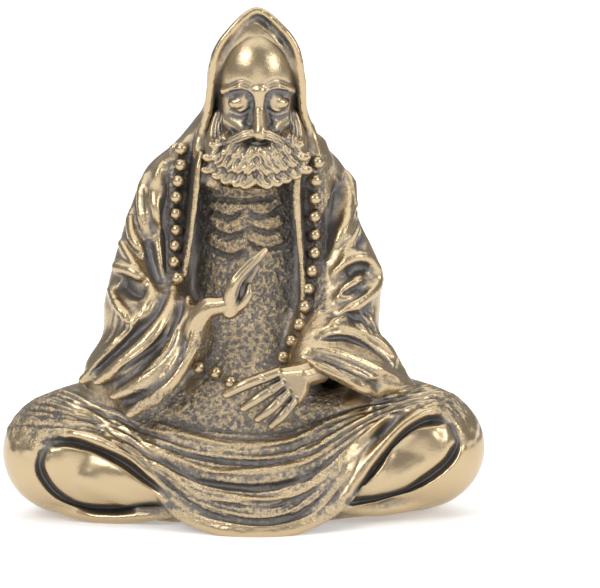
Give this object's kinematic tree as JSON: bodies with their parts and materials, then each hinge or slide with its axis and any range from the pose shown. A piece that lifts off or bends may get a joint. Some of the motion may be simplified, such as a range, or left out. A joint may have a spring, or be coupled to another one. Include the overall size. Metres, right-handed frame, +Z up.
{
  "type": "bodhidharma statue",
  "caption": "Small cast brass figure of a hooded, bearded monk seated cross-legged, one hand raised, with a long bead string and a robe that sags in folds.",
  "frame": {"origin": "middle of the bounding box, on the plane of the flat underside", "axes": "+Z up, the figure faces -Y, +X to the left hand of the figure"},
  "size_m": [0.048, 0.0284, 0.0508],
  "materials": {
    "antique_brass": "polished high spots over dark oxidised hollows"
  },
  "bodies": {
    "root": {"seated_figure": "antique_brass"}
  },
  "joints": []
}
